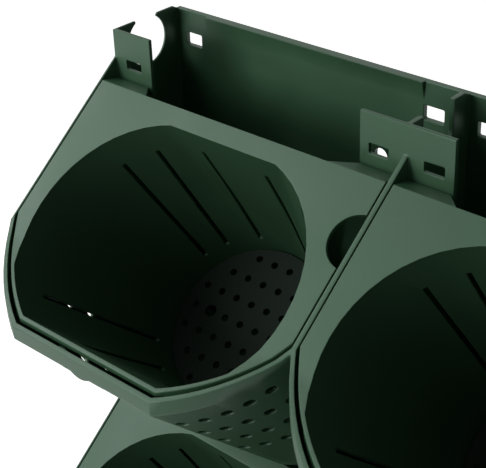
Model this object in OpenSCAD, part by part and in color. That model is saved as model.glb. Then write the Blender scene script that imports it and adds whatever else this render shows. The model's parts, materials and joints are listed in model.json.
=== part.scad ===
// Wall planter made of stacked modules. Each module is one moulding with three
// slanted pockets, a trough along its top for a watering pipe, and a reservoir at
// the bottom of each pocket. A slotted pot with a loose soil grid sits in each pocket.
// The wall is the plane y = 0 and the planter stands out from it towards -y.

/* [Module] */
// Distance from one pocket to the next
pocket_pitch = 165; // [158:1:172]
// Distance from one stacked module to the next
tier_pitch = 171; // [169:0.5:175]
// Gap between a module and the one it stands on
stack_gap = 0.4; // [0.2:0.1:1]
// Thickness of the back plate
back_t = 3; // [2:0.25:4]
// Thickness of the pocket wall and the floor
wall_t = 2; // [1.5:0.1:2.5]
// Thickness of the partition between two pockets, twice that of an end wall
rib_t = 2.4; // [2:0.1:3]
// How far the top of the back plate stays below the tabs
back_drop = 1.6; // [1:0.1:3]

/* [Wall holes] */
// Diameter of a screw hole
screw_d = 7; // [5:0.5:8]
// Distance of the screw holes below the top of the tabs
screw_drop = 43; // [38:1:50]
// Distance of a screw hole from the middle of its end pocket
screw_shift = 40; // [30:1:50]

/* [Tabs] */
// Distance from the wall to the front of the tabs
tab_reach = 44.2; // [42:0.2:46]
// Thickness of a tab
tab_t = 2; // [1.5:0.1:2.5]
// Visible height of a tab
tab_h = 23; // [21:0.5:25]
// Reach of a tab to each side of a partition
tab_half_w = 22.5; // [20:0.5:25]
// Width of the tab at each end of the module
tab_end_w = 23.8; // [22:0.2:26]
// Size of the snap slot in a tab
tab_slot = [9.5, 4.5];
// Distance of the snap slot below the top of its tab
tab_slot_drop = 13.3; // [11:0.1:15]
// Distance of a snap slot from the partition
tab_slot_shift = 13.25; // [12:0.25:15]
// Distance of the end tab's snap slot from the end of the module
tab_slot_end = 12.5; // [11:0.25:14]
// Size of the snap hole in the back plate
back_hole = [10.2, 6.5];
// Distance of the snap hole below the top of the tabs
back_hole_drop = 12.5; // [11:0.1:14]
// Distance of a pocket's left snap hole from the left edge of the pocket
back_hole_left = 11; // [9:0.5:12]
// Distance of a pocket's right snap hole from the right edge of the pocket
back_hole_right = 15.6; // [14:0.1:16]

/* [Pipe notches] */
// Diameter of the round pipe notch in an end wall
pipe_notch_d = 24; // [20:0.5:26]
// Distance of the pipe from the wall
pipe_y = 24; // [22:0.5:26]
// Distance of the pipe below the top of the tabs
pipe_drop = 11.5; // [10:0.5:13]
// Width of the mouth between the snap prongs of an end wall
pipe_mouth = 11.6; // [9:0.2:14]
// Width of the plain notch in a partition
rib_notch_w = 20.8; // [18:0.2:24]

/* [Face and rim] */
// Slope of the face from the level
face_tilt = 38.3; // [36:0.2:40]
// Drop from the top of the tabs to the line where the face meets them
face_drop = 13; // [12:0.25:14]
// Radius of the rim, seen from above
rim_r = 98; // [96:0.5:100]
// How far the flat lip cuts into the round of the rim
lip_cut = 9; // [8:0.5:10]
// Distance from the wall where the rim turns to a gentler slope
rim_knee = 118; // [114:1:122]
// Slope of the rim in front of the knee
rim_tilt = 30; // [28:0.5:33]
// Distance from the wall to the front of the lip
lip_reach = 150.5; // [149.5:0.25:152]
// Distance from the top of the tabs to the lip's lower edge
lip_drop = 96.5; // [95:0.5:98]
// Size of the rounded nose under the lip
nose = [12, 2];

/* [Cup] */
// Radius of the slanted cup
cup_r = 90.6; // [90:0.2:92]
// Angle of the cup's axis below the level
cup_dip = 44.1; // [43:0.1:45]
// Distance of the cup's axis behind the front of the lip, at the height below
cup_axis_back = 69.5; // [69:0.25:70]
// Distance of that point of the axis below the top of the tabs
cup_axis_drop = 51.6; // [51:0.2:52.4]
// Diameter of an air hole
air_d = 5; // [3:0.5:6]
// Distance between two rows of air holes
air_row_pitch = 16.1; // [14:0.1:18]
// Distance of the first row from the reference point of the axis
air_row_start = -1.2; // [-3:0.1:1]
// Number of rows
air_rows = 4; // [1:1:4]
// Angle of the outermost air hole from the level
air_angle = 60.6; // [59:0.2:62]
// Angle between two air holes
air_step = 6.6; // [6:0.1:6.8]
// Number of air holes in a row on one side
air_columns = 5; // [1:1:5]

/* [Pot] */
// Wall thickness of a pot
pot_t = 1.6; // [1.2:0.1:1.8]
// Thickness of the pot's flange and ears
flange_t = 2; // [1.5:0.1:2.5]
// Half width of the flange
flange_half_w = 80.8; // [80.2:0.1:81]
// Distance of the flange's top edge down the face
flange_top = 13; // [12.5:0.1:13.5]
// Radius of the mouth's round ends
mouth_r = 57.9; // [57:0.1:58.5]
// Sideways distance of the centres of those rounds from the middle
mouth_spread = 13.5; // [12:0.25:14]
// Distance of those centres down the face
mouth_q = 77.6; // [77:0.1:78]
// Distance of the mouth's straight top edge down the face
mouth_top = 22.2; // [21.5:0.1:24]
// Distance of the mouth's straight lower edge down the face
mouth_bottom = 124.9; // [123.5:0.1:125]
// Depth of the pot from the face to the soil grid
pot_depth = 85.6; // [84:0.2:86]
// Inner radius of the pot at the soil grid
foot_r = 40.5; // [40:0.1:40.8]
// Distance of the foot's centre down the face
foot_q = 74.2; // [73.8:0.1:74.4]
// Radius of the round finger notch in the flange's right edge
finger_r = 12; // [10:0.5:13]
// Distance of the finger notch down the face
finger_q = 40.3; // [38:0.5:42]
// Length of the ear's fold, and of its edge at the tab
ear_fold_w = 28.8; // [25:0.2:30]
// Length of the ear's edge at the tab
ear_edge_w = 19.8; // [18:0.2:21]
// Slope of the ears down towards the tab
ear_dip = 12; // [8:0.5:14]

/* [Pot slots] */
// Width of a slot
slit_w = 2; // [1.5:0.1:3]
// Depth below the face where a slot starts
slit_top = 14.5; // [12:0.5:20]
// Depth below the face where a slot ends
slit_bottom = 79; // [60:1:80]
// Angles of the upper slots from the pot's left-right line
slit_angles_up = [30, 46, 70];
// Angles of the lower slots from the pot's left-right line
slit_angles_down = [35, 56, 76];

/* [Soil grid] */
// Thickness of the soil grid
grid_t = 2; // [1.5:0.1:3]
// Sideways distance between two grid holes
grid_pitch_x = 9.4; // [8.5:0.1:10]
// Distance between two rows of grid holes
grid_pitch_q = 10.9; // [10:0.1:12]
// Diameter of a grid hole
grid_hole_d = 3.4; // [2.5:0.1:4]
// Diameter of the single larger hole
grid_wick_d = 6; // [5:0.25:7]

/* [Clearances] */
// Gap between the pot and what it rests on
rest_gap = 0.3; // [0.2:0.05:0.5]
// Gap between the pot's flange and the rim around it
rim_gap = 0.4; // [0.3:0.05:0.6]
// Gap between the pot's flange and the lip in front of it
lip_gap = 2; // [1.8:0.1:2.5]
// Gap between the soil grid and the pot's wall
grid_gap = 0.5; // [0.4:0.05:0.8]
// Gap between a snap leg and the plate it lies against
leg_gap = 0.3; // [0.2:0.05:0.5]

/* [Hidden] */
$fn = 64;

// Overrun of a cut past the surface it opens
over = 1;
// Length that reaches past the whole part in every direction
far = 3 * pocket_pitch;

COLUMNS = [-1, 0, 1];
module_half_w = pocket_pitch * len(COLUMNS) / 2;
pocket_half_w = pocket_pitch / 2;
room_half_w = pocket_half_w - rib_t / 2;

rim_axis_y = lip_reach + lip_cut - rim_r;
cup_axis_y = lip_reach - cup_axis_back;

// Heights above the floor of a module
tab_top = tier_pitch - stack_gap;
back_top = tab_top - back_drop;
face_z = tab_top - face_drop;
lip_bottom = tab_top - lip_drop;
cup_axis_z = tab_top - cup_axis_drop;
screw_z = tab_top - screw_drop;

// Height on the face at a distance y from the wall
function face_height(y) = face_z - (y - tab_reach) * tan(face_tilt);
knee_z = face_height(rim_knee);
lip_top = knee_z - (lip_reach - rim_knee) * tan(rim_tilt);

// Distance of a point outwards and down from the cup's axis
function cup_out(y, z) = (y - cup_axis_y) * sin(cup_dip) - (z - cup_axis_z) * cos(cup_dip);
cup_flat = cup_out(lip_reach, lip_bottom);

// Distance from the wall where the line at a distance out from the axis has height z
function cup_line_y(out, z) = cup_axis_y + (out + (z - cup_axis_z) * cos(cup_dip)) / sin(cup_dip);
// Height where that line is at a distance y from the wall
function cup_line_z(out, y) = cup_axis_z + ((y - cup_axis_y) * sin(cup_dip) - out) / cos(cup_dip);

// The modules stand so that the middle of the four screw holes is the origin
hang_z = screw_z + tier_pitch / 2;
TIER_Z = [-hang_z, tier_pitch - hang_z];

// Bead along the top of the back plate, between the snap holes
bead_proud = 2;
bead_h = 8.7;
bead_start = 20.5;

// Shelf under each ear
shelf_t = 2;
shelf_w = 19;
shelf_start = 1.5;
ear_len = 10.1;
ear_gap = 0.3;

// Outline of the pot's flange from the side: the fold of its ears, the knee of the rim
// and the front edge behind the lip
fold_y = tab_reach + flange_top * cos(face_tilt);
fold_z = face_height(fold_y);
fold_in = (flange_t / cos(face_tilt) - flange_t / cos(ear_dip)) / (tan(face_tilt) + tan(ear_dip));
ear_y = tab_reach + ear_gap;
ear_z = fold_z - (fold_y - ear_y) * tan(ear_dip);
front_y = lip_reach - wall_t - lip_gap;
front_z = knee_z - (front_y - rim_knee) * tan(rim_tilt);
// Way that the flange is drawn back from the rim, so that the pot can be lifted out
flange_back = 1.6;
// Height of the pot's wall above the face, before it is cut along the rim
front_rise = 8;

// Ledge that carries the flange at each side
ledge_t = 2;
ledge_w = 3.5;
ledge_from = 58;
ledge_to = 84;

// Snap legs under the floor
leg_t = 2;
leg_root = 9;
leg_side_gap = 0.5;
leg_end_gap = 0.3;
hook_out = 1.4;
hook_lip = 0.8;

// Snap prongs of the end wall
prong_chamfer = 2.4;
prong_back = 2.7;
prong_angle = 33;
prong_inset = 0.4;

// Reach of a slot's cut from within the pot out through its wall
slit_reach = 80;

// Foot of the pot and its ledge for the soil grid
foot_ledge_w = 3.5;
foot_ledge_t = 2;
foot_drop = grid_t + rest_gap + foot_ledge_t;

// Soil grid
grid_r = foot_r - grid_gap;
grid_margin = 3.5;
grid_rows = 3;
grid_row_shift = 0.7;
grid_wick_column = -2.5;

POT_COLOR = [0.27, 0.35, 0.29];
BODY_COLOR = [0.24, 0.32, 0.26];
GRID_COLOR = [0.17, 0.22, 0.18];

// Places its children on the face: x to the right, -y down the slope, z out of the face
module on_face() {
    translate([0, -tab_reach, face_z])
        rotate([face_tilt, 0, 0])
            children();
}

// Places its children on the cup's axis: z down the axis, y outwards and down
module on_cup() {
    translate([0, -cup_axis_y, cup_axis_z])
        rotate([-(90 + cup_dip), 0, 0])
            children();
}

// Places its children on the ear's fold: y towards the tab, z out of the ear
module on_ear() {
    on_face()
        translate([0, -flange_top, 0])
            rotate([-face_tilt - ear_dip, 0, 0])
                children();
}

// Extrudes a side outline, drawn with x as distance from the wall and y as height
module side_extrude(half_w) {
    rotate([90, 0, -90])
        translate([0, 0, -half_w])
            linear_extrude(2 * half_w)
                children();
}

// Side outline of a module
module side_outline() {
    polygon([
        [0, 0],
        [cup_line_y(cup_flat, 0), 0],
        [lip_reach, lip_bottom],
        [lip_reach, lip_top],
        [rim_knee, knee_z],
        [tab_reach, face_z],
        [tab_reach, tab_top],
        [2 * back_t, tab_top],
        [back_t, back_top],
        [0, back_top]
    ]);
}

// Side outline of the room inside, open at the top
module room_outline() {
    flat_in = cup_flat - wall_t;
    lip_in = lip_reach - wall_t;
    polygon([
        [back_t, wall_t],
        [cup_line_y(flat_in, wall_t), wall_t],
        [lip_in, cup_line_z(flat_in, lip_in)],
        [lip_in, tab_top + over],
        [back_t, tab_top + over]
    ]);
}

// Space within the slanted cup and the upright rim of one pocket, less a margin
module cup_space(margin) {
    half_w = pocket_half_w + over;
    intersection() {
        on_cup()
            union() {
                cylinder(r = cup_r - margin, h = far, center = true);
                translate([-half_w, -far, -far])
                    cube([2 * half_w, far, 2 * far]);
            }
        translate([0, -rim_axis_y, 0])
            union() {
                cylinder(r = rim_r - margin, h = far, center = true);
                translate([-half_w, 0, -far])
                    cube([2 * half_w, far, 2 * far]);
            }
    }
}

// Solid block of a module, with its pockets still filled
module pockets_solid() {
    intersection() {
        side_extrude(module_half_w)
            side_outline();
        for (column = COLUMNS) {
            translate([column * pocket_pitch, 0, 0])
                cup_space(0);
        }
    }
}

// Rooms of the pockets, open at the top
module pockets_room() {
    intersection() {
        side_extrude(module_half_w)
            room_outline();
        for (column = COLUMNS) {
            translate([column * pocket_pitch, 0, 0])
                intersection() {
                    cup_space(wall_t);
                    translate([-room_half_w, -far, -far])
                        cube([2 * room_half_w, 2 * far, 2 * far]);
                }
        }
    }
}

module air_holes() {
    on_cup()
        for (side = [0, 1], row = [0 : air_rows - 1], column = [0 : air_columns - 1]) {
            mirror([side, 0, 0])
                translate([0, 0, air_row_start + row * air_row_pitch])
                    rotate([0, 0, air_angle - column * air_step])
                        rotate([0, 90, 0])
                            translate([0, 0, cup_r - wall_t - over])
                                cylinder(d = air_d, h = wall_t + 2 * over, $fn = 24);
        }
}

// Rounded nose in the middle of the lip's lower edge
module lip_nose() {
    nose_r = (nose.x * nose.x / 4 + nose.y * nose.y) / (2 * nose.y);
    intersection() {
        translate([0, -lip_reach, lip_bottom + nose_r - nose.y])
            rotate([-90, 0, 0])
                cylinder(r = nose_r, h = wall_t);
        translate([-nose.x, -lip_reach, lip_bottom - nose.y])
            cube([2 * nose.x, wall_t, 2 * nose.y]);
    }
}

// Shelf for one ear and ledge for the flange, both on the right side of a pocket
module pot_rests() {
    on_ear()
        translate([room_half_w - shelf_w, shelf_start, -flange_t - ear_gap - shelf_t])
            cube([shelf_w + rib_t / 4, ear_len - shelf_start, shelf_t]);
    on_face()
        translate([room_half_w - ledge_w, -ledge_to, -flange_t - rest_gap - ledge_t])
            cube([ledge_w + rib_t / 4, ledge_to - ledge_from, ledge_t]);
}

// One tab from x = from to x = to, reaching down to the shelves behind the ears
module tab(from, to) {
    foot = tab_h + shelf_t + flange_t;
    translate([from, -tab_reach, tab_top - foot])
        cube([to - from, tab_t, foot]);
}

// Signed places of the snap slots in the tabs along the module
slot_places = [
    -module_half_w + tab_slot_end,
    -pocket_half_w - tab_slot_shift,
    -pocket_half_w + tab_slot_shift,
    pocket_half_w - tab_slot_shift,
    pocket_half_w + tab_slot_shift,
    module_half_w - tab_slot_end
];
// Signed places of the snap holes in the back plate along the module
hole_places = [
    for (column = COLUMNS, x = [-pocket_half_w + back_hole_left, pocket_half_w - back_hole_right])
        column * pocket_pitch + x
];

module snap_cuts() {
    for (x = slot_places) {
        translate([x - tab_slot.x / 2, -tab_reach - over, tab_top - tab_slot_drop - tab_slot.y])
            cube([tab_slot.x, tab_t + 2 * over, tab_slot.y]);
    }
    for (x = hole_places) {
        translate([x - back_hole.x / 2, -back_t - over, tab_top - back_hole_drop - back_hole.y])
            cube([back_hole.x, back_t + 2 * over, back_hole.y]);
    }
}

// Snap leg whose hook fills a slot of height slot_h that starts at a drop below the
// tab top of the module beneath; the leg hangs from z = 0 and hooks towards -y
module snap_leg(width, drop, slot_h) {
    low = stack_gap + drop + slot_h - leg_end_gap;
    high = stack_gap + drop + leg_end_gap;
    translate([-width / 2, 0, 0])
        rotate([90, 0, 90])
            linear_extrude(width)
                polygon([
                    [0, leg_root],
                    [0, -high],
                    [-leg_gap - hook_out, -high],
                    [-leg_gap - hook_out, -high - hook_lip],
                    [0, -low],
                    [leg_t, -low],
                    [leg_t, leg_root]
                ]);
}

module snap_legs() {
    for (x = slot_places) {
        translate([x, -tab_reach + tab_t + leg_gap, 0])
            snap_leg(tab_slot.x - 2 * leg_side_gap, tab_slot_drop, tab_slot.y);
    }
    for (x = hole_places) {
        translate([x, -back_t - leg_gap, 0])
            mirror([0, 1, 0])
                snap_leg(back_hole.x - 2 * leg_side_gap, back_hole_drop, back_hole.y);
    }
}

// Bead between two pads of the back plate
module back_bead(from, to) {
    translate([from, 0, 0])
        rotate([90, 0, 90])
            linear_extrude(to - from)
                polygon([
                    [-back_t / 2, back_top],
                    [-back_t - bead_proud, back_top],
                    [-back_t, back_top - bead_h],
                    [-back_t / 2, back_top - bead_h]
                ]);
}

// Round notch of an end wall with its snap prongs, as a side outline
module end_notch_outline() {
    grip_rise = (pipe_notch_d / 2 - prong_inset) * sin(prong_angle);
    grip_z = tab_top - pipe_drop + grip_rise;
    grip = (pipe_notch_d / 2 - prong_inset) * cos(prong_angle);
    translate([pipe_y, tab_top - pipe_drop])
        circle(d = pipe_notch_d);
    polygon([
        [pipe_y + grip, grip_z],
        [pipe_y + pipe_mouth / 2, tab_top - prong_chamfer],
        [pipe_y + pipe_mouth / 2 + prong_chamfer / 2, tab_top + over],
        [pipe_y - pipe_mouth / 2 - prong_back, tab_top + over],
        [pipe_y - pipe_mouth / 2, tab_top - prong_chamfer],
        [pipe_y - grip, grip_z]
    ]);
}

// Plain notch of a partition, as a side outline
module rib_notch_outline() {
    low = tab_top - pipe_drop - pipe_notch_d / 2 + rib_notch_w / 2;
    translate([pipe_y, low])
        circle(d = rib_notch_w);
    translate([pipe_y - rib_notch_w / 2, low])
        square([rib_notch_w, tab_top - low + over]);
}

module pipe_notches() {
    side_extrude(pocket_half_w + rib_t)
        rib_notch_outline();
    for (side = [-1, 1]) {
        translate([side * module_half_w, 0, 0])
            side_extrude(2 * wall_t)
                end_notch_outline();
    }
}

module screw_holes() {
    for (side = [-1, 1]) {
        translate([side * (pocket_pitch - screw_shift), over, screw_z])
            rotate([90, 0, 0])
                cylinder(d = screw_d, h = back_t + 2 * over);
    }
}

// Body of one module
module planter_module() {
    difference() {
        union() {
            difference() {
                pockets_solid();
                pockets_room();
            }
            for (column = COLUMNS, side = [0, 1]) {
                translate([column * pocket_pitch, 0, 0])
                    mirror([side, 0, 0])
                        pot_rests();
            }
            for (column = COLUMNS) {
                translate([column * pocket_pitch, 0, 0]) {
                    lip_nose();
                    back_bead(-pocket_half_w + bead_start, pocket_half_w - bead_start);
                }
            }
            tab(-module_half_w, -module_half_w + tab_end_w);
            tab(-pocket_half_w - tab_half_w, -pocket_half_w + tab_half_w);
            tab(pocket_half_w - tab_half_w, pocket_half_w + tab_half_w);
            tab(module_half_w - tab_end_w, module_half_w);
            snap_legs();
        }
        for (column = COLUMNS) {
            translate([column * pocket_pitch, 0, 0])
                air_holes();
        }
        snap_cuts();
        pipe_notches();
        screw_holes();
    }
}

// Outline of the mouth, grown all round, drawn on the face
module mouth_outline(grow) {
    intersection() {
        union() {
            for (side = [-1, 1]) {
                translate([side * mouth_spread, -mouth_q])
                    circle(r = mouth_r + grow, $fn = 48);
            }
            translate([-mouth_spread, -mouth_q - mouth_r - grow])
                square([2 * mouth_spread, 2 * (mouth_r + grow)]);
        }
        translate([-flange_half_w, -mouth_bottom - grow])
            square([2 * flange_half_w, mouth_bottom - mouth_top + 2 * grow]);
    }
}

// Tapered body of the pot, from the mouth down to the foot
module pot_taper(grow, raise, drop) {
    hull() {
        translate([0, 0, -flange_t / 2])
            linear_extrude(flange_t / 2 + raise)
                mouth_outline(grow);
        translate([0, -foot_q, -pot_depth - drop])
            cylinder(r = foot_r + grow, h = grid_t + drop, $fn = 48);
    }
}

// Side outline of the flange and its ears, a little higher than they end up
module flange_side_outline() {
    polygon([
        [ear_y, ear_z + over],
        [fold_y, fold_z + over],
        [rim_knee, knee_z + over],
        [front_y, front_z + over],
        [front_y, front_z - flange_t / cos(rim_tilt)],
        [rim_knee, knee_z - flange_t / cos(face_tilt)],
        [fold_y - fold_in, fold_z + fold_in * tan(face_tilt) - flange_t / cos(face_tilt)],
        [ear_y, ear_z - flange_t / cos(ear_dip)]
    ]);
}

// Side outline of the room for a pot, less a margin: it ends at the top of the flange and
// its ears, and the rest gap away from the module's back, floor and slanted front
module pot_side_outline(margin) {
    out = cup_flat - wall_t - rest_gap - margin;
    low = wall_t + rest_gap + margin;
    back = back_t + rest_gap + margin;
    polygon([
        [ear_y, ear_z],
        [fold_y, fold_z],
        [rim_knee, knee_z],
        [front_y, front_z],
        [front_y, cup_line_z(out, front_y)],
        [cup_line_y(out, low), low],
        [back, low],
        [back, ear_z]
    ]);
}

// Flange and ears from above
module flange_plan() {
    translate([-flange_half_w, -front_y - over])
        square([2 * flange_half_w, front_y + over - fold_y]);
    for (side = [0, 1]) {
        mirror([side, 0])
            polygon([
                [flange_half_w, -fold_y - over],
                [flange_half_w, -ear_y + over],
                [flange_half_w - ear_edge_w, -ear_y + over],
                [flange_half_w - ear_edge_w, -ear_y],
                [flange_half_w - ear_fold_w, -fold_y],
                [flange_half_w - ear_fold_w, -fold_y - over]
            ]);
    }
}

// Flange with its ears
module pot_flange() {
    intersection() {
        side_extrude(flange_half_w + over)
            flange_side_outline();
        linear_extrude(tab_top)
            flange_plan();
    }
}

// Space that the pot may fill within the rim of its pocket, less a margin
module pot_space(margin) {
    translate([0, flange_back, 0])
        cup_space(wall_t + rim_gap + margin);
}

module pot_slits() {
    up = [for (a = slit_angles_up) each [a, 180 - a]];
    down = [for (a = slit_angles_down) each [180 + a, 360 - a]];
    for (a = concat(up, down)) {
        translate([0, -foot_q, -slit_bottom])
            rotate([0, 0, a])
                translate([foot_r / 2, -slit_w / 2, 0])
                    cube([slit_reach, slit_w, slit_bottom - slit_top]);
    }
}

module pot() {
    difference() {
        intersection() {
            union() {
                pot_flange();
                on_face()
                    pot_taper(pot_t, front_rise, foot_drop);
            }
            side_extrude(pocket_half_w)
                pot_side_outline(0);
            pot_space(0);
        }
        intersection() {
            on_face()
                pot_taper(0, front_rise + over, grid_t + rest_gap);
            pot_space(pot_t);
        }
        on_face() {
            translate([0, -foot_q, -pot_depth - foot_drop - over])
                cylinder(r = foot_r - foot_ledge_w, h = foot_drop + over);
            translate([pocket_half_w, -finger_q, -flange_t - over])
                cylinder(r = finger_r, h = flange_t + 2 * over);
            pot_slits();
        }
    }
}

// Loose round grid that keeps the soil above the foot of the pot
module soil_grid() {
    on_face()
        translate([0, -foot_q, -pot_depth - grid_t])
            difference() {
                cylinder(r = grid_r, h = grid_t);
                for (row = [-grid_rows : grid_rows], column = [-4 : 3]) {
                    x = (column + 0.5) * grid_pitch_x;
                    y = -(row * grid_pitch_q + grid_row_shift);
                    wick = row == 0 && column + 0.5 == grid_wick_column;
                    if (norm([x, y]) < grid_r - grid_margin)
                        translate([x, y, -over])
                            cylinder(d = wick ? grid_wick_d : grid_hole_d, h = grid_t + 2 * over, $fn = 20);
                }
            }
}

// Places its children in a pocket of a tier
module at(tier, column) {
    translate([column * pocket_pitch, 0, TIER_Z[tier]])
        children();
}

module module_lower() {
    color(BODY_COLOR)
        at(0, 0)
            planter_module();
}

module module_upper() {
    color(BODY_COLOR)
        at(1, 0)
            planter_module();
}

module pot_at(tier, column) {
    color(POT_COLOR)
        at(tier, column)
            pot();
}

module soil_grid_at(tier, column) {
    color(GRID_COLOR)
        at(tier, column)
            soil_grid();
}

module_lower();
module_upper();
pot_at(0, -1);  // pot_lower_left
pot_at(0, 0);  // pot_lower_middle
pot_at(0, 1);  // pot_lower_right
pot_at(1, -1);  // pot_upper_left
pot_at(1, 0);  // pot_upper_middle
pot_at(1, 1);  // pot_upper_right
soil_grid_at(0, -1);  // soil_grid_lower_left
soil_grid_at(0, 0);  // soil_grid_lower_middle
soil_grid_at(0, 1);  // soil_grid_lower_right
soil_grid_at(1, -1);  // soil_grid_upper_left
soil_grid_at(1, 0);  // soil_grid_upper_middle
soil_grid_at(1, 1);  // soil_grid_upper_right
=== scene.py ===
"""Wall planter of two stacked modules, with a slotted pot and a soil grid in each pocket."""

import json
import math

import bpy
from bpy.props import FloatProperty, FloatVectorProperty, IntProperty, PointerProperty
from mathutils import Matrix, Vector
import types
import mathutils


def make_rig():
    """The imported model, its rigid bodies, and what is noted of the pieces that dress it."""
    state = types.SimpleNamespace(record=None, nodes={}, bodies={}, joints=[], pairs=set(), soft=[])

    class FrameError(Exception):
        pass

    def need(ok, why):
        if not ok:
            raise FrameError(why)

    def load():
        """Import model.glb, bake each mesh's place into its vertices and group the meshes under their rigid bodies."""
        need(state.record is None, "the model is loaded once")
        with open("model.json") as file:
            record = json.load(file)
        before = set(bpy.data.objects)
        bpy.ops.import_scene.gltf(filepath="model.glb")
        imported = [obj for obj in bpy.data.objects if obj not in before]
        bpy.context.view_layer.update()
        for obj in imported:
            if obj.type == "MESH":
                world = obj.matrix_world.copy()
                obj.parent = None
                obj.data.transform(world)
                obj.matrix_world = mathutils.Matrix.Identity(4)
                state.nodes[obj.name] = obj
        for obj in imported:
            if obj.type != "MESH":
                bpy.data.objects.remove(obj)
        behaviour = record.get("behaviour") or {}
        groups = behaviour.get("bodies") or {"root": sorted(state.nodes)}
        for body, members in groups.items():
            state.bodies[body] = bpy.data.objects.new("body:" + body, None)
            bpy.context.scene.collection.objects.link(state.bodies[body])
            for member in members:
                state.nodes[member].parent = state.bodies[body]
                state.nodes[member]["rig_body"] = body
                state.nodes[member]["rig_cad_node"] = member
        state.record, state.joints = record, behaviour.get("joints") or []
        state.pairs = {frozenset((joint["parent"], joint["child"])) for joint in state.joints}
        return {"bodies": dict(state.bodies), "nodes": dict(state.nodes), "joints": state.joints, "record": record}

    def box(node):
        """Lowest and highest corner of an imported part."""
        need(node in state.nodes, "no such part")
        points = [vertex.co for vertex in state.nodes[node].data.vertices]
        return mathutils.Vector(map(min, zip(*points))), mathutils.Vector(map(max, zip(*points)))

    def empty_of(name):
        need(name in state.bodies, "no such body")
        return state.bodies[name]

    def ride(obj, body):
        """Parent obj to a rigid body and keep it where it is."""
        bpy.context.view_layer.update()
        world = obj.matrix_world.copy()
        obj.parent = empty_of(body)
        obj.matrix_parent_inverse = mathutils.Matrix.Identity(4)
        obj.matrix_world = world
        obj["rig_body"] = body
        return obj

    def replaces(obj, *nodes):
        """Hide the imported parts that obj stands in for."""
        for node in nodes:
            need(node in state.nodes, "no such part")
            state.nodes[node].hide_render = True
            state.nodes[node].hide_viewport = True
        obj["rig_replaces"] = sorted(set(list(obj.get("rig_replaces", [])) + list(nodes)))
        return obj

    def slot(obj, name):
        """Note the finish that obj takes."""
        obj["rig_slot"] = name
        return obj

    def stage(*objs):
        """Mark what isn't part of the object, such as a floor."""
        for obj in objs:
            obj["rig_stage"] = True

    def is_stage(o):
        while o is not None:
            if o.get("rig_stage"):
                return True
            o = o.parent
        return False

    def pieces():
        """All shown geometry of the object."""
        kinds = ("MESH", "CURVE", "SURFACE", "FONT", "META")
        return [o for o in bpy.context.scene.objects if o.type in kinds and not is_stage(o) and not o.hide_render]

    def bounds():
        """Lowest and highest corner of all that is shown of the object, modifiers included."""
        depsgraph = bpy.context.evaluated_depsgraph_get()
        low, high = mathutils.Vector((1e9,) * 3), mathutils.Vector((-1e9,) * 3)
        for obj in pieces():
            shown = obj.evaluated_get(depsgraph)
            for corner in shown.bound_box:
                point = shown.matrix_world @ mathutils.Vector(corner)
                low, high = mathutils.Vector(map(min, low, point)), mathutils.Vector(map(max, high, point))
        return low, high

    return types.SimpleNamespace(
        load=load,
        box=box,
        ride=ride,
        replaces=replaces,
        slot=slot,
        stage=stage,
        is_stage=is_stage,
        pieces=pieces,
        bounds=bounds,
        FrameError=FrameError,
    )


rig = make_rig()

bl_info = {
    "name": "Stacked Wall Planter",
    "version": (1, 0, 0),
    "blender": (4, 5, 0),
    "location": "3D View > Sidebar > Planter",
    "description": "Dresses a stacked wall planter with rounded edges and moulded plastic",
    "category": "Object",
}

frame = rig.load()
CAD_LOW, CAD_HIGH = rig.bounds()

TIERS = ("lower", "upper")
COLUMNS = ("left", "middle", "right")

# Least distance between two points of a mesh, and least angle between two faces
MERGE_DISTANCE = 2e-6
FLAT_ANGLE = math.radians(0.4)
# How much more a large face counts than a small one in the shading of an edge
FACE_WEIGHT = 80

# Finish of the plastics
SATIN = {"roughness": 0.46, "shine": 0.5}
MATT = {"roughness": 0.7, "shine": 0.2}
DULL = {"roughness": 0.8, "shine": 0.15}
PLASTIC_IOR = 1.49
CLOUD_NOISE = {"Detail": 3, "Roughness": 0.55}
GRAIN_NOISE = {"Detail": 2, "Roughness": 0.6}
# Span of the noise that is used, and the spans that it gives the shade and the roughness
NOISE_SPAN = (0.3, 0.7)
SHADE_SPAN = (0.9, 1.1)
RUB_SPAN = (-0.05, 0.05)

# Finish of the floor
FLOOR_COLOR = (0.85, 0.85, 0.85, 1)
FLOOR_ROUGHNESS = 0.9
FLOOR_GLOW = 0.85
WHITE = (1, 1, 1, 1)

# Camera
CAMERA_PLACE = Vector((0.1763, -0.4133, 0.3419))
CAMERA_TARGET = Vector((-0.2489, 0.0391, -0.0183))
CAMERA_ROLL = math.radians(-2.29)
CAMERA_LENS = 95.68
CAMERA_SENSOR = 36
CAMERA_NEAR = 0.01
CAMERA_FAR = 100

# Places of the soft lights
FRONT_LIGHT_PLACE = Vector((-0.68, -1.33, 0.40))
TOP_LIGHT_PLACE = Vector((-0.97, -0.56, 0.80))


# Properties

class PlanterEdges(bpy.types.PropertyGroup):
    """Rounding of the moulded edges"""

    module: FloatProperty(
        name="Module",
        description="Width of the rounded edges of a module",
        default=0.0005, min=0.0001, max=0.001, unit="LENGTH",
    )
    pot: FloatProperty(
        name="Pot",
        description="Width of the rounded edges of a pot",
        default=0.0004, min=0.0001, max=0.0008, unit="LENGTH",
    )
    grid: FloatProperty(
        name="Soil grid",
        description="Width of the rounded edges of a soil grid",
        default=0.0004, min=0.0001, max=0.0008, unit="LENGTH",
    )
    steps: IntProperty(
        name="Steps",
        description="Number of faces across a rounded edge",
        default=2, min=1, max=4,
    )
    sharp: FloatProperty(
        name="Sharp edge",
        description="Least angle of an edge that gets rounded",
        default=math.radians(33), min=0.1, max=1.5, unit="ROTATION", subtype="ANGLE",
    )


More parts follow.
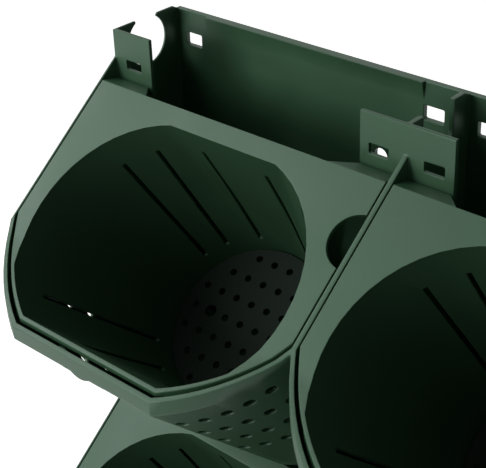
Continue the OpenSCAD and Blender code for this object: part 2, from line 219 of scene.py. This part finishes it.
class PlanterFinish(bpy.types.PropertyGroup):
    """Colours and grain of the moulded plastic"""

    module_color: FloatVectorProperty(
        name="Module",
        description="Colour of the module moulding",
        default=(0.017, 0.052, 0.023), min=0, max=1, size=3, subtype="COLOR",
    )
    pot_color: FloatVectorProperty(
        name="Pot",
        description="Colour of a pot",
        default=(0.017, 0.052, 0.023), min=0, max=1, size=3, subtype="COLOR",
    )
    # Darker than the pot colour: painted shade on the walls inside a pot, whose coarser finish is the matt roughness.
    inside_painted_shade_color: FloatVectorProperty(
        name="Pot inside, painted shade",
        description="Colour of the coarser walls inside a pot",
        default=(0.014, 0.040, 0.018), min=0, max=1, size=3, subtype="COLOR",
    )
    grid_color: FloatVectorProperty(
        name="Soil grid",
        description="Colour of a soil grid",
        default=(0.014, 0.020, 0.016), min=0, max=1, size=3, subtype="COLOR",
    )
    sheen_color: FloatVectorProperty(
        name="Sheen",
        description="Tint of the sheen on the plastic",
        default=(0.80, 1.0, 0.90), min=0, max=1, size=3, subtype="COLOR",
    )
    grain_size: FloatProperty(
        name="Grain size",
        description="Distance between two bumps of the moulded grain",
        default=0.0006, min=0.0002, max=0.003, unit="LENGTH",
    )
    grain_depth: FloatProperty(
        name="Grain depth",
        description="Depth of the moulded grain",
        default=0.00004, min=0, max=0.0003, unit="LENGTH",
    )
    cloud_size: FloatProperty(
        name="Cloud size",
        description="Size of the faint cloudy patches in the colour",
        default=0.05, min=0.005, max=0.3, unit="LENGTH",
    )


class PlanterStage(bpy.types.PropertyGroup):
    """Floor and light"""

    floor_size: FloatProperty(
        name="Floor",
        description="Width of the floor",
        default=14, min=2, max=50, unit="LENGTH",
    )
    front_power: FloatProperty(
        name="Front light",
        description="Power of the low soft light from the front left",
        default=12.5, min=0, max=500, unit="POWER",
    )
    top_power: FloatProperty(
        name="Top light",
        description="Power of the high soft light from the left, for the slanted faces",
        default=6.5, min=0, max=500, unit="POWER",
    )
    lamp_size: FloatProperty(
        name="Lamp size",
        description="Width of the soft lights",
        default=0.6, min=0.1, max=4, unit="LENGTH",
    )
    sky_light: FloatProperty(
        name="Sky light",
        description="Strength of the even light from all sides",
        default=0.04, min=0, max=2,
    )


# Shared steps

def select_only(*objects):
    """Selects these objects alone and makes the first one active."""
    for other in list(bpy.context.selected_objects):
        other.select_set(False)
    for thing in objects:
        thing.select_set(True)
    bpy.context.view_layer.objects.active = objects[0] if objects else None


def apply_modifier(piece, kind, name, **settings):
    """Adds a modifier to the piece, sets it and applies it."""
    select_only(piece)
    modifier = piece.modifiers.new(name, kind)
    for key, value in settings.items():
        setattr(modifier, key, value)
    bpy.ops.object.modifier_apply(modifier=modifier.name)


def merged_copy(node):
    """New piece with the merged mesh of a node, its flat faces in one piece each."""
    name = f"{node}_moulding"
    piece = bpy.data.objects.new(name, frame["nodes"][node].data.copy())
    bpy.context.scene.collection.objects.link(piece)
    piece.data.name = name
    piece.data.materials.clear()
    select_only(piece)
    if piece.data.has_custom_normals:
        bpy.ops.mesh.customdata_custom_splitnormals_clear()
    bpy.ops.object.mode_set(mode="EDIT")
    bpy.ops.mesh.select_all(action="SELECT")
    bpy.ops.mesh.remove_doubles(threshold=MERGE_DISTANCE)
    bpy.ops.mesh.dissolve_limited(angle_limit=FLAT_ANGLE)
    bpy.ops.object.mode_set(mode="OBJECT")
    return piece


def round_edges(piece, width, edges):
    """Rounds the sharp edges of a piece and smooths what lies between them."""
    apply_modifier(
        piece, "BEVEL", "Rounded edges",
        width=width, segments=edges.steps, limit_method="ANGLE", angle_limit=edges.sharp,
        use_clamp_overlap=False, loop_slide=True, harden_normals=False,
        miter_outer="MITER_ARC",
    )
    select_only(piece)
    bpy.ops.object.shade_smooth_by_angle(angle=edges.sharp)
    apply_modifier(
        piece, "WEIGHTED_NORMAL", "Even shading",
        mode="FACE_AREA", weight=FACE_WEIGHT, keep_sharp=True,
    )


def rounded_piece(node, width, edges, *materials):
    """Piece for a node, with rounded edges and these materials."""
    piece = merged_copy(node)
    round_edges(piece, width, edges)
    for material in materials:
        piece.data.materials.append(material)
    return piece


def copy_to(piece, node, other):
    """Copy of a node's piece, with a mesh of its own, in the place of another node."""
    twin = piece.copy()
    twin.data = piece.data.copy()
    twin.name = f"{other}_moulding"
    twin.data.name = twin.name
    twin.data.transform(Matrix.Translation(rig.box(other)[0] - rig.box(node)[0]))
    bpy.context.scene.collection.objects.link(twin)
    return twin


def seat_piece(piece, node, body, slot):
    """Puts the piece in a node's place on its body."""
    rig.ride(piece, body)
    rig.replaces(piece, node)
    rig.slot(piece, slot)


def fill_pockets(first, kind, slot):
    """Seats the piece of the upper left pocket, and a copy of it in each other pocket."""
    start = f"{kind}_upper_left"
    for tier in TIERS:
        for column in COLUMNS:
            node = f"{kind}_{tier}_{column}"
            piece = first if node == start else copy_to(first, start, node)
            seat_piece(piece, node, node, slot)


def mark_painted_shade_inside(piece, middle):
    """Gives the second material, darker with painted shade, to the faces that look towards a point inside the piece.
    """
    for face in piece.data.polygons:
        if face.normal.dot(face.center - middle) < 0:
            face.material_index = 1


# Materials

def add_noise(nodes, links, place, scale, settings):
    """Socket of a noise on Object coordinates."""
    noise = nodes.new("ShaderNodeTexNoise")
    for name, value in settings.items():
        noise.inputs[name].default_value = value
    links.new(place.outputs["Object"], noise.inputs["Vector"])
    links.new(scale, noise.inputs["Scale"])
    return noise.outputs["Fac"]


def add_span(nodes, links, value, span):
    """Socket that turns the used span of a noise into another span."""
    change = nodes.new("ShaderNodeMapRange")
    change.inputs["From Min"].default_value = NOISE_SPAN[0]
    change.inputs["From Max"].default_value = NOISE_SPAN[1]
    change.inputs["To Min"].default_value = span[0]
    change.inputs["To Max"].default_value = span[1]
    links.new(value, change.inputs["Value"])
    return change.outputs["Result"]


def grain_group():
    """Node group for the grain and the faint clouds of moulded plastic."""
    name = "Moulded grain"
    if name in bpy.data.node_groups:
        return bpy.data.node_groups[name]
    group = bpy.data.node_groups.new(name, "ShaderNodeTree")
    for socket, way, kind in (
        ("Plastic color", "INPUT", "NodeSocketColor"),
        ("Clouds per metre", "INPUT", "NodeSocketFloat"),
        ("Grains per metre", "INPUT", "NodeSocketFloat"),
        ("Roughness", "INPUT", "NodeSocketFloat"),
        ("Color", "OUTPUT", "NodeSocketColor"),
        ("Roughness", "OUTPUT", "NodeSocketFloat"),
        ("Height", "OUTPUT", "NodeSocketFloat"),
    ):
        group.interface.new_socket(socket, in_out=way, socket_type=kind)
    nodes, links = group.nodes, group.links
    given = nodes.new("NodeGroupInput")
    made = nodes.new("NodeGroupOutput")
    place = nodes.new("ShaderNodeTexCoord")

    clouds = add_noise(nodes, links, place, given.outputs["Clouds per metre"], CLOUD_NOISE)
    tint = nodes.new("ShaderNodeVectorMath")
    tint.operation = "SCALE"
    links.new(given.outputs["Plastic color"], tint.inputs[0])
    links.new(add_span(nodes, links, clouds, SHADE_SPAN), tint.inputs["Scale"])

    rough = nodes.new("ShaderNodeMath")
    rough.operation = "ADD"
    rough.use_clamp = True
    links.new(given.outputs["Roughness"], rough.inputs[0])
    links.new(add_span(nodes, links, clouds, RUB_SPAN), rough.inputs[1])

    grain = add_noise(nodes, links, place, given.outputs["Grains per metre"], GRAIN_NOISE)
    links.new(tint.outputs["Vector"], made.inputs["Color"])
    links.new(rough.outputs["Value"], made.inputs["Roughness"])
    links.new(grain, made.inputs["Height"])
    return group


def moulded_plastic(name, color, finish, roughness, shine):
    """Moulded plastic with a fine grain."""
    if name in bpy.data.materials:
        return bpy.data.materials[name]
    material = bpy.data.materials.new(name)
    material.use_nodes = True
    nodes, links = material.node_tree.nodes, material.node_tree.links
    shader = nodes["Principled BSDF"]
    shader.inputs["IOR"].default_value = PLASTIC_IOR
    shader.inputs["Specular IOR Level"].default_value = shine
    shader.inputs["Specular Tint"].default_value = (*finish.sheen_color, 1)
    grain = nodes.new("ShaderNodeGroup")
    grain.node_tree = grain_group()
    grain.inputs["Plastic color"].default_value = (*color, 1)
    grain.inputs["Clouds per metre"].default_value = 1 / finish.cloud_size
    grain.inputs["Grains per metre"].default_value = 1 / finish.grain_size
    grain.inputs["Roughness"].default_value = roughness
    bump = nodes.new("ShaderNodeBump")
    bump.inputs["Strength"].default_value = 1
    bump.inputs["Distance"].default_value = finish.grain_depth
    links.new(grain.outputs["Color"], shader.inputs["Base Color"])
    links.new(grain.outputs["Roughness"], shader.inputs["Roughness"])
    links.new(grain.outputs["Height"], bump.inputs["Height"])
    links.new(bump.outputs["Normal"], shader.inputs["Normal"])
    return material


def floor_paint():
    """Pale floor that looks white to the camera and keeps the shadow."""
    material = bpy.data.materials.new("Pale floor")
    material.use_nodes = True
    nodes, links = material.node_tree.nodes, material.node_tree.links
    shader = nodes["Principled BSDF"]
    shader.inputs["Base Color"].default_value = FLOOR_COLOR
    shader.inputs["Roughness"].default_value = FLOOR_ROUGHNESS
    shader.inputs["Emission Color"].default_value = WHITE
    level = nodes.new("ShaderNodeMath")
    level.operation = "MULTIPLY"
    level.inputs[1].default_value = FLOOR_GLOW
    links.new(seen_directly(nodes, links), level.inputs[0])
    links.new(level.outputs["Value"], shader.inputs["Emission Strength"])
    return material


def seen_directly(nodes, links):
    """Socket that is 1 for what the camera sees straight on, in a gloss or through glass."""
    ray = nodes.new("ShaderNodeLightPath")
    gloss = nodes.new("ShaderNodeMath")
    gloss.operation = "MAXIMUM"
    links.new(ray.outputs["Is Camera Ray"], gloss.inputs[0])
    links.new(ray.outputs["Is Glossy Ray"], gloss.inputs[1])
    glass = nodes.new("ShaderNodeMath")
    glass.operation = "MAXIMUM"
    links.new(gloss.outputs["Value"], glass.inputs[0])
    links.new(ray.outputs["Is Transmission Ray"], glass.inputs[1])
    return glass.outputs["Value"]


# Operators

class PLANTER_OT_modules(bpy.types.Operator):
    """Make the two modules, each one moulding with rounded edges"""

    bl_idname = "planter.modules"
    bl_label = "Modules"

    def execute(self, context):
        edges, finish = context.scene.planter_edges, context.scene.planter_finish
        plastic = moulded_plastic("Module plastic", finish.module_color, finish, **SATIN)
        upper = rounded_piece("module_upper", edges.module, edges, plastic)
        lower = copy_to(upper, "module_upper", "module_lower")
        for piece, node in ((upper, "module_upper"), (lower, "module_lower")):
            seat_piece(piece, node, "planter", "module_plastic")
        return {"FINISHED"}


class PLANTER_OT_pots(bpy.types.Operator):
    """Make the six slotted pots"""

    bl_idname = "planter.pots"
    bl_label = "Pots"

    def execute(self, context):
        edges, finish = context.scene.planter_edges, context.scene.planter_finish
        satin = moulded_plastic("Pot plastic", finish.pot_color, finish, **SATIN)
        # The inside material has a darker colour as painted shade inside the pot, and a rougher matt finish.
        shaded_matt = moulded_plastic("Pot plastic inside", finish.inside_painted_shade_color, finish, **MATT)
        first = rounded_piece("pot_upper_left", edges.pot, edges, satin, shaded_matt)
        low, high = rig.box("soil_grid_upper_left")
        mark_painted_shade_inside(first, (low + high) / 2)
        fill_pockets(first, "pot", "pot_plastic")
        return {"FINISHED"}


class PLANTER_OT_soil_grids(bpy.types.Operator):
    """Make the six soil grids"""

    bl_idname = "planter.soil_grids"
    bl_label = "Soil grids"

    def execute(self, context):
        edges, finish = context.scene.planter_edges, context.scene.planter_finish
        plastic = moulded_plastic("Grid plastic", finish.grid_color, finish, **DULL)
        first = rounded_piece("soil_grid_upper_left", edges.grid, edges, plastic)
        fill_pockets(first, "soil_grid", "grid_plastic")
        return {"FINISHED"}


class PLANTER_OT_stage(bpy.types.Operator):
    """Set up the camera, the soft light and the pale floor"""

    bl_idname = "planter.stage"
    bl_label = "Stage"

    def execute(self, context):
        stage = context.scene.planter_stage
        self.camera(context)
        middle = (CAD_LOW + CAD_HIGH) / 2
        select_only()
        bpy.ops.mesh.primitive_plane_add(
            size=stage.floor_size, location=(middle.x, middle.y, CAD_LOW.z)
        )
        floor = context.object
        floor.name = "Floor"
        floor.data.materials.append(floor_paint())
        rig.stage(floor)
        self.lamp(context, "Front light", FRONT_LIGHT_PLACE, middle, stage.front_power)
        self.lamp(context, "Top light", TOP_LIGHT_PLACE, middle, stage.top_power)
        self.sky(context, stage.sky_light)
        context.scene.view_settings.view_transform = "Standard"
        return {"FINISHED"}

    def camera(self, context):
        """Camera at the place and roll of the photograph."""
        forward = (CAMERA_TARGET - CAMERA_PLACE).normalized()
        right = forward.cross(Vector((0, 0, 1))).normalized()
        up = right.cross(forward)
        across = math.cos(CAMERA_ROLL) * right + math.sin(CAMERA_ROLL) * up
        upward = math.cos(CAMERA_ROLL) * up - math.sin(CAMERA_ROLL) * right
        turn = Matrix((across, upward, -forward)).transposed()
        data = bpy.data.cameras.new("Camera")
        data.lens = CAMERA_LENS
        data.sensor_width = CAMERA_SENSOR
        data.clip_start = CAMERA_NEAR
        data.clip_end = CAMERA_FAR
        camera = bpy.data.objects.new("Camera", data)
        camera.matrix_world = Matrix.Translation(CAMERA_PLACE) @ turn.to_4x4()
        context.scene.collection.objects.link(camera)
        context.scene.camera = camera

    def lamp(self, context, name, place, target, power):
        """Square soft light at a place, aimed at a target."""
        data = bpy.data.lights.new(name, "AREA")
        data.shape = "SQUARE"
        data.size = context.scene.planter_stage.lamp_size
        data.energy = power
        lamp = bpy.data.objects.new(name, data)
        lamp.location = place
        aim = (target - place).normalized()
        lamp.rotation_mode = "QUATERNION"
        lamp.rotation_quaternion = aim.to_track_quat("-Z", "Y")
        context.scene.collection.objects.link(lamp)

    def sky(self, context, strength):
        """Even light from all sides, seen as white."""
        world = bpy.data.worlds.new("Studio")
        world.use_nodes = True
        nodes, links = world.node_tree.nodes, world.node_tree.links
        nodes.clear()
        level = nodes.new("ShaderNodeMapRange")
        level.inputs["To Min"].default_value = strength
        level.inputs["To Max"].default_value = 1
        links.new(seen_directly(nodes, links), level.inputs["Value"])
        shader = nodes.new("ShaderNodeBackground")
        shader.inputs["Color"].default_value = WHITE
        links.new(level.outputs["Result"], shader.inputs["Strength"])
        output = nodes.new("ShaderNodeOutputWorld")
        links.new(shader.outputs["Background"], output.inputs["Surface"])
        context.scene.world = world


class PLANTER_PT_sidebar(bpy.types.Panel):
    """Lists the sizes, the finishes and the pieces"""

    bl_label = "Planter"
    bl_idname = "PLANTER_PT_sidebar"
    bl_space_type = "VIEW_3D"
    bl_region_type = "UI"
    bl_category = "Planter"

    def draw(self, context):
        layout = self.layout
        for title, group in (
            ("Edges", context.scene.planter_edges),
            ("Finish", context.scene.planter_finish),
            ("Stage", context.scene.planter_stage),
        ):
            box = layout.box()
            box.label(text=title)
            for key in group.__annotations__:
                box.prop(group, key)
        for operator in OPERATORS:
            layout.operator(operator.bl_idname)


OPERATORS = (PLANTER_OT_modules, PLANTER_OT_pots, PLANTER_OT_soil_grids, PLANTER_OT_stage)
GROUPS = {
    "planter_edges": PlanterEdges,
    "planter_finish": PlanterFinish,
    "planter_stage": PlanterStage,
}


def register():
    for name, group in GROUPS.items():
        bpy.utils.register_class(group)
        setattr(bpy.types.Scene, name, PointerProperty(type=group))
    for operator in OPERATORS:
        bpy.utils.register_class(operator)
    bpy.utils.register_class(PLANTER_PT_sidebar)


def unregister():
    bpy.utils.unregister_class(PLANTER_PT_sidebar)
    for operator in reversed(OPERATORS):
        bpy.utils.unregister_class(operator)
    for name, group in reversed(GROUPS.items()):
        delattr(bpy.types.Scene, name)
        bpy.utils.unregister_class(group)


def main():
    register()
    bpy.ops.planter.modules()
    bpy.ops.planter.pots()
    bpy.ops.planter.soil_grids()
    bpy.ops.planter.stage()
    low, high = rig.bounds()
    sizes = {"cad": [list(CAD_LOW), list(CAD_HIGH)], "visual": [list(low), list(high)]}
    with open("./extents.json", "w") as file:
        json.dump(sizes, file)


if __name__ == "__main__":
    main()
